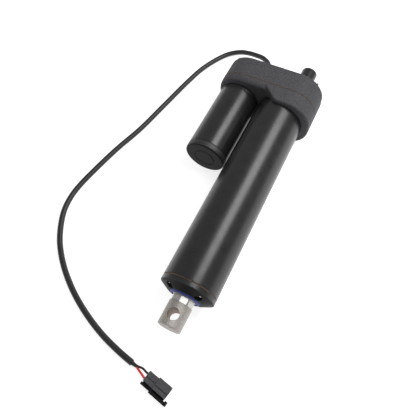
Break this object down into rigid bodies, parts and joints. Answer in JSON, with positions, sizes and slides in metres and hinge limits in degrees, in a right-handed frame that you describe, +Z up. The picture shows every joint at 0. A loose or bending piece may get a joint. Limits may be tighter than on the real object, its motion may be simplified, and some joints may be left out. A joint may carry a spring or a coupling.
{
  "type": "linear actuator",
  "caption": "Parallel-drive electric linear actuator: motor beside a drive tube, gearbox across the back, steel rod with a cross-hole eye, and a cable with a two-pin plug.",
  "frame": {"origin": "on the floor under the middle of the body, measured without the cable and plug", "axes": "+Y from the rod end to the rear of the gearbox, +Z up from the floor the gearbox stands on, +X from the motor to the drive tube"},
  "size_m": [0.301, 0.5881, 0.092],
  "materials": {
    "casting": "matte die-cast enamel",
    "black_paint": "satin powder coat",
    "black_plastic": "fine moulded texture",
    "black_rubber": "matte cable jacket",
    "red_rubber": "smooth wire insulation",
    "blue_rubber": "smooth seal rubber",
    "gasket": "pressed fibre sheet",
    "stainless": "fine turned and ground",
    "steel": "machined, lightly oiled",
    "bronze": "machined bronze",
    "copper": "drawn copper",
    "white_plastic": "moulded acetal",
    "ferrite": "ground ferrite",
    "carbon": "pressed carbon",
    "board": "lacquered board"
  },
  "bodies": {
    "frame": {"rear_cover": "casting", "front_housing": "casting", "housing_gasket": "gasket", "cap_gasket": "gasket", "cover_screw_1": "stainless", "cover_screw_2": "stainless", "cover_screw_3": "stainless", "cover_screw_4": "stainless", "cover_screw_5": "stainless", "cover_screw_6": "stainless", "cap_screw_1": "stainless", "cap_screw_2": "stainless", "cap_screw_3": "stainless", "cap_screw_4": "stainless", "rear_lug": "black_paint", "outer_tube": "black_paint", "front_cap": "black_paint", "motor_can": "black_paint", "cable_gland": "black_plastic", "motor_end_cap": "black_plastic", "brush_holder": "black_plastic", "limit_switch_1": "black_plastic", "limit_switch_2": "black_plastic", "plug_housing": "black_plastic", "wiper_seal": "blue_rubber", "rod_bush": "bronze", "screw_bush": "bronze", "terminal_1": "bronze", "terminal_2": "bronze", "bearing_outer": "steel", "idler_shaft": "steel", "motor_front_plate": "steel", "motor_bearing_1": "steel", "motor_bearing_2": "steel", "motor_screw_1": "steel", "motor_screw_2": "steel", "magnet_1": "ferrite", "magnet_2": "ferrite", "brush_1": "carbon", "brush_2": "carbon", "switch_board": "board", "cord_sheath": "black_rubber", "cord_core": "black_rubber", "wire_black": "black_rubber", "wire_red": "red_rubber"},
    "rod": {"rod_tube": "stainless", "rod_end": "stainless", "drive_nut": "bronze", "nut_slider": "white_plastic"},
    "screw": {"lead_screw": "steel", "screw_gear": "steel", "bearing_inner": "steel", "screw_clip": "steel", "screw_support": "white_plastic"},
    "idler": {"idler_gear": "steel"},
    "armature": {"armature_core": "steel", "armature_shaft": "steel", "motor_pinion": "steel", "commutator": "copper", "winding": "copper"}
  },
  "joints": [
    {"name": "armature_spin", "type": "hinge", "parent": "frame", "child": "armature", "pos_m": [-0.04375, 0, 0.046], "axis": [0, 1, 0], "range_deg": [0, 119000]},
    {"name": "idler_spin", "type": "hinge", "parent": "frame", "child": "idler", "pos_m": [-0.00979, 0, 0.05208], "axis": [0, 1, 0], "range_deg": [-42001, 0]},
    {"name": "screw_spin", "type": "hinge", "parent": "frame", "child": "screw", "pos_m": [0.03025, 0, 0.046], "axis": [0, 1, 0], "range_deg": [0, 12001]},
    {"name": "rod_slide", "type": "slide", "parent": "frame", "child": "rod", "axis": [0, -1, 0], "range_m": [0, 0.2001]}
  ],
  "couplings": [
    {"joint": "idler_spin", "follows": "armature_spin", "ratio": -0.35294},
    {"joint": "screw_spin", "follows": "armature_spin", "ratio": 0.10084},
    {"joint": "rod_slide", "follows": "armature_spin", "m_per_rad": 0.000096295}
  ]
}
